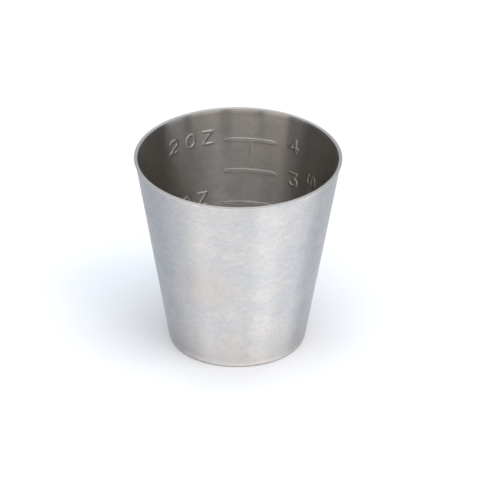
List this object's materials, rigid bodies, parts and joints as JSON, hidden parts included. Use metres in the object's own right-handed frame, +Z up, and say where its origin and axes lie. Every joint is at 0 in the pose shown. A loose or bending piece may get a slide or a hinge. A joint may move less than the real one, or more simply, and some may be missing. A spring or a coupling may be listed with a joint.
{
  "type": "bar jigger",
  "caption": "Tapered one-piece measuring cup in satin stainless steel, open at the top, with raised graduation lines and numerals inside.",
  "frame": {"origin": "centre of the underside of the flat base, on the cup's axis", "axes": "+Z up along the cup's axis; +Y towards the graduations, which read from inside the cup; +X to their right"},
  "size_m": [0.0536, 0.0536, 0.0524],
  "materials": {
    "satin_steel": "satin, faintly brushed round the axis outside, duller inside"
  },
  "bodies": {
    "root": {"measuring_cup": "satin_steel"}
  },
  "joints": []
}
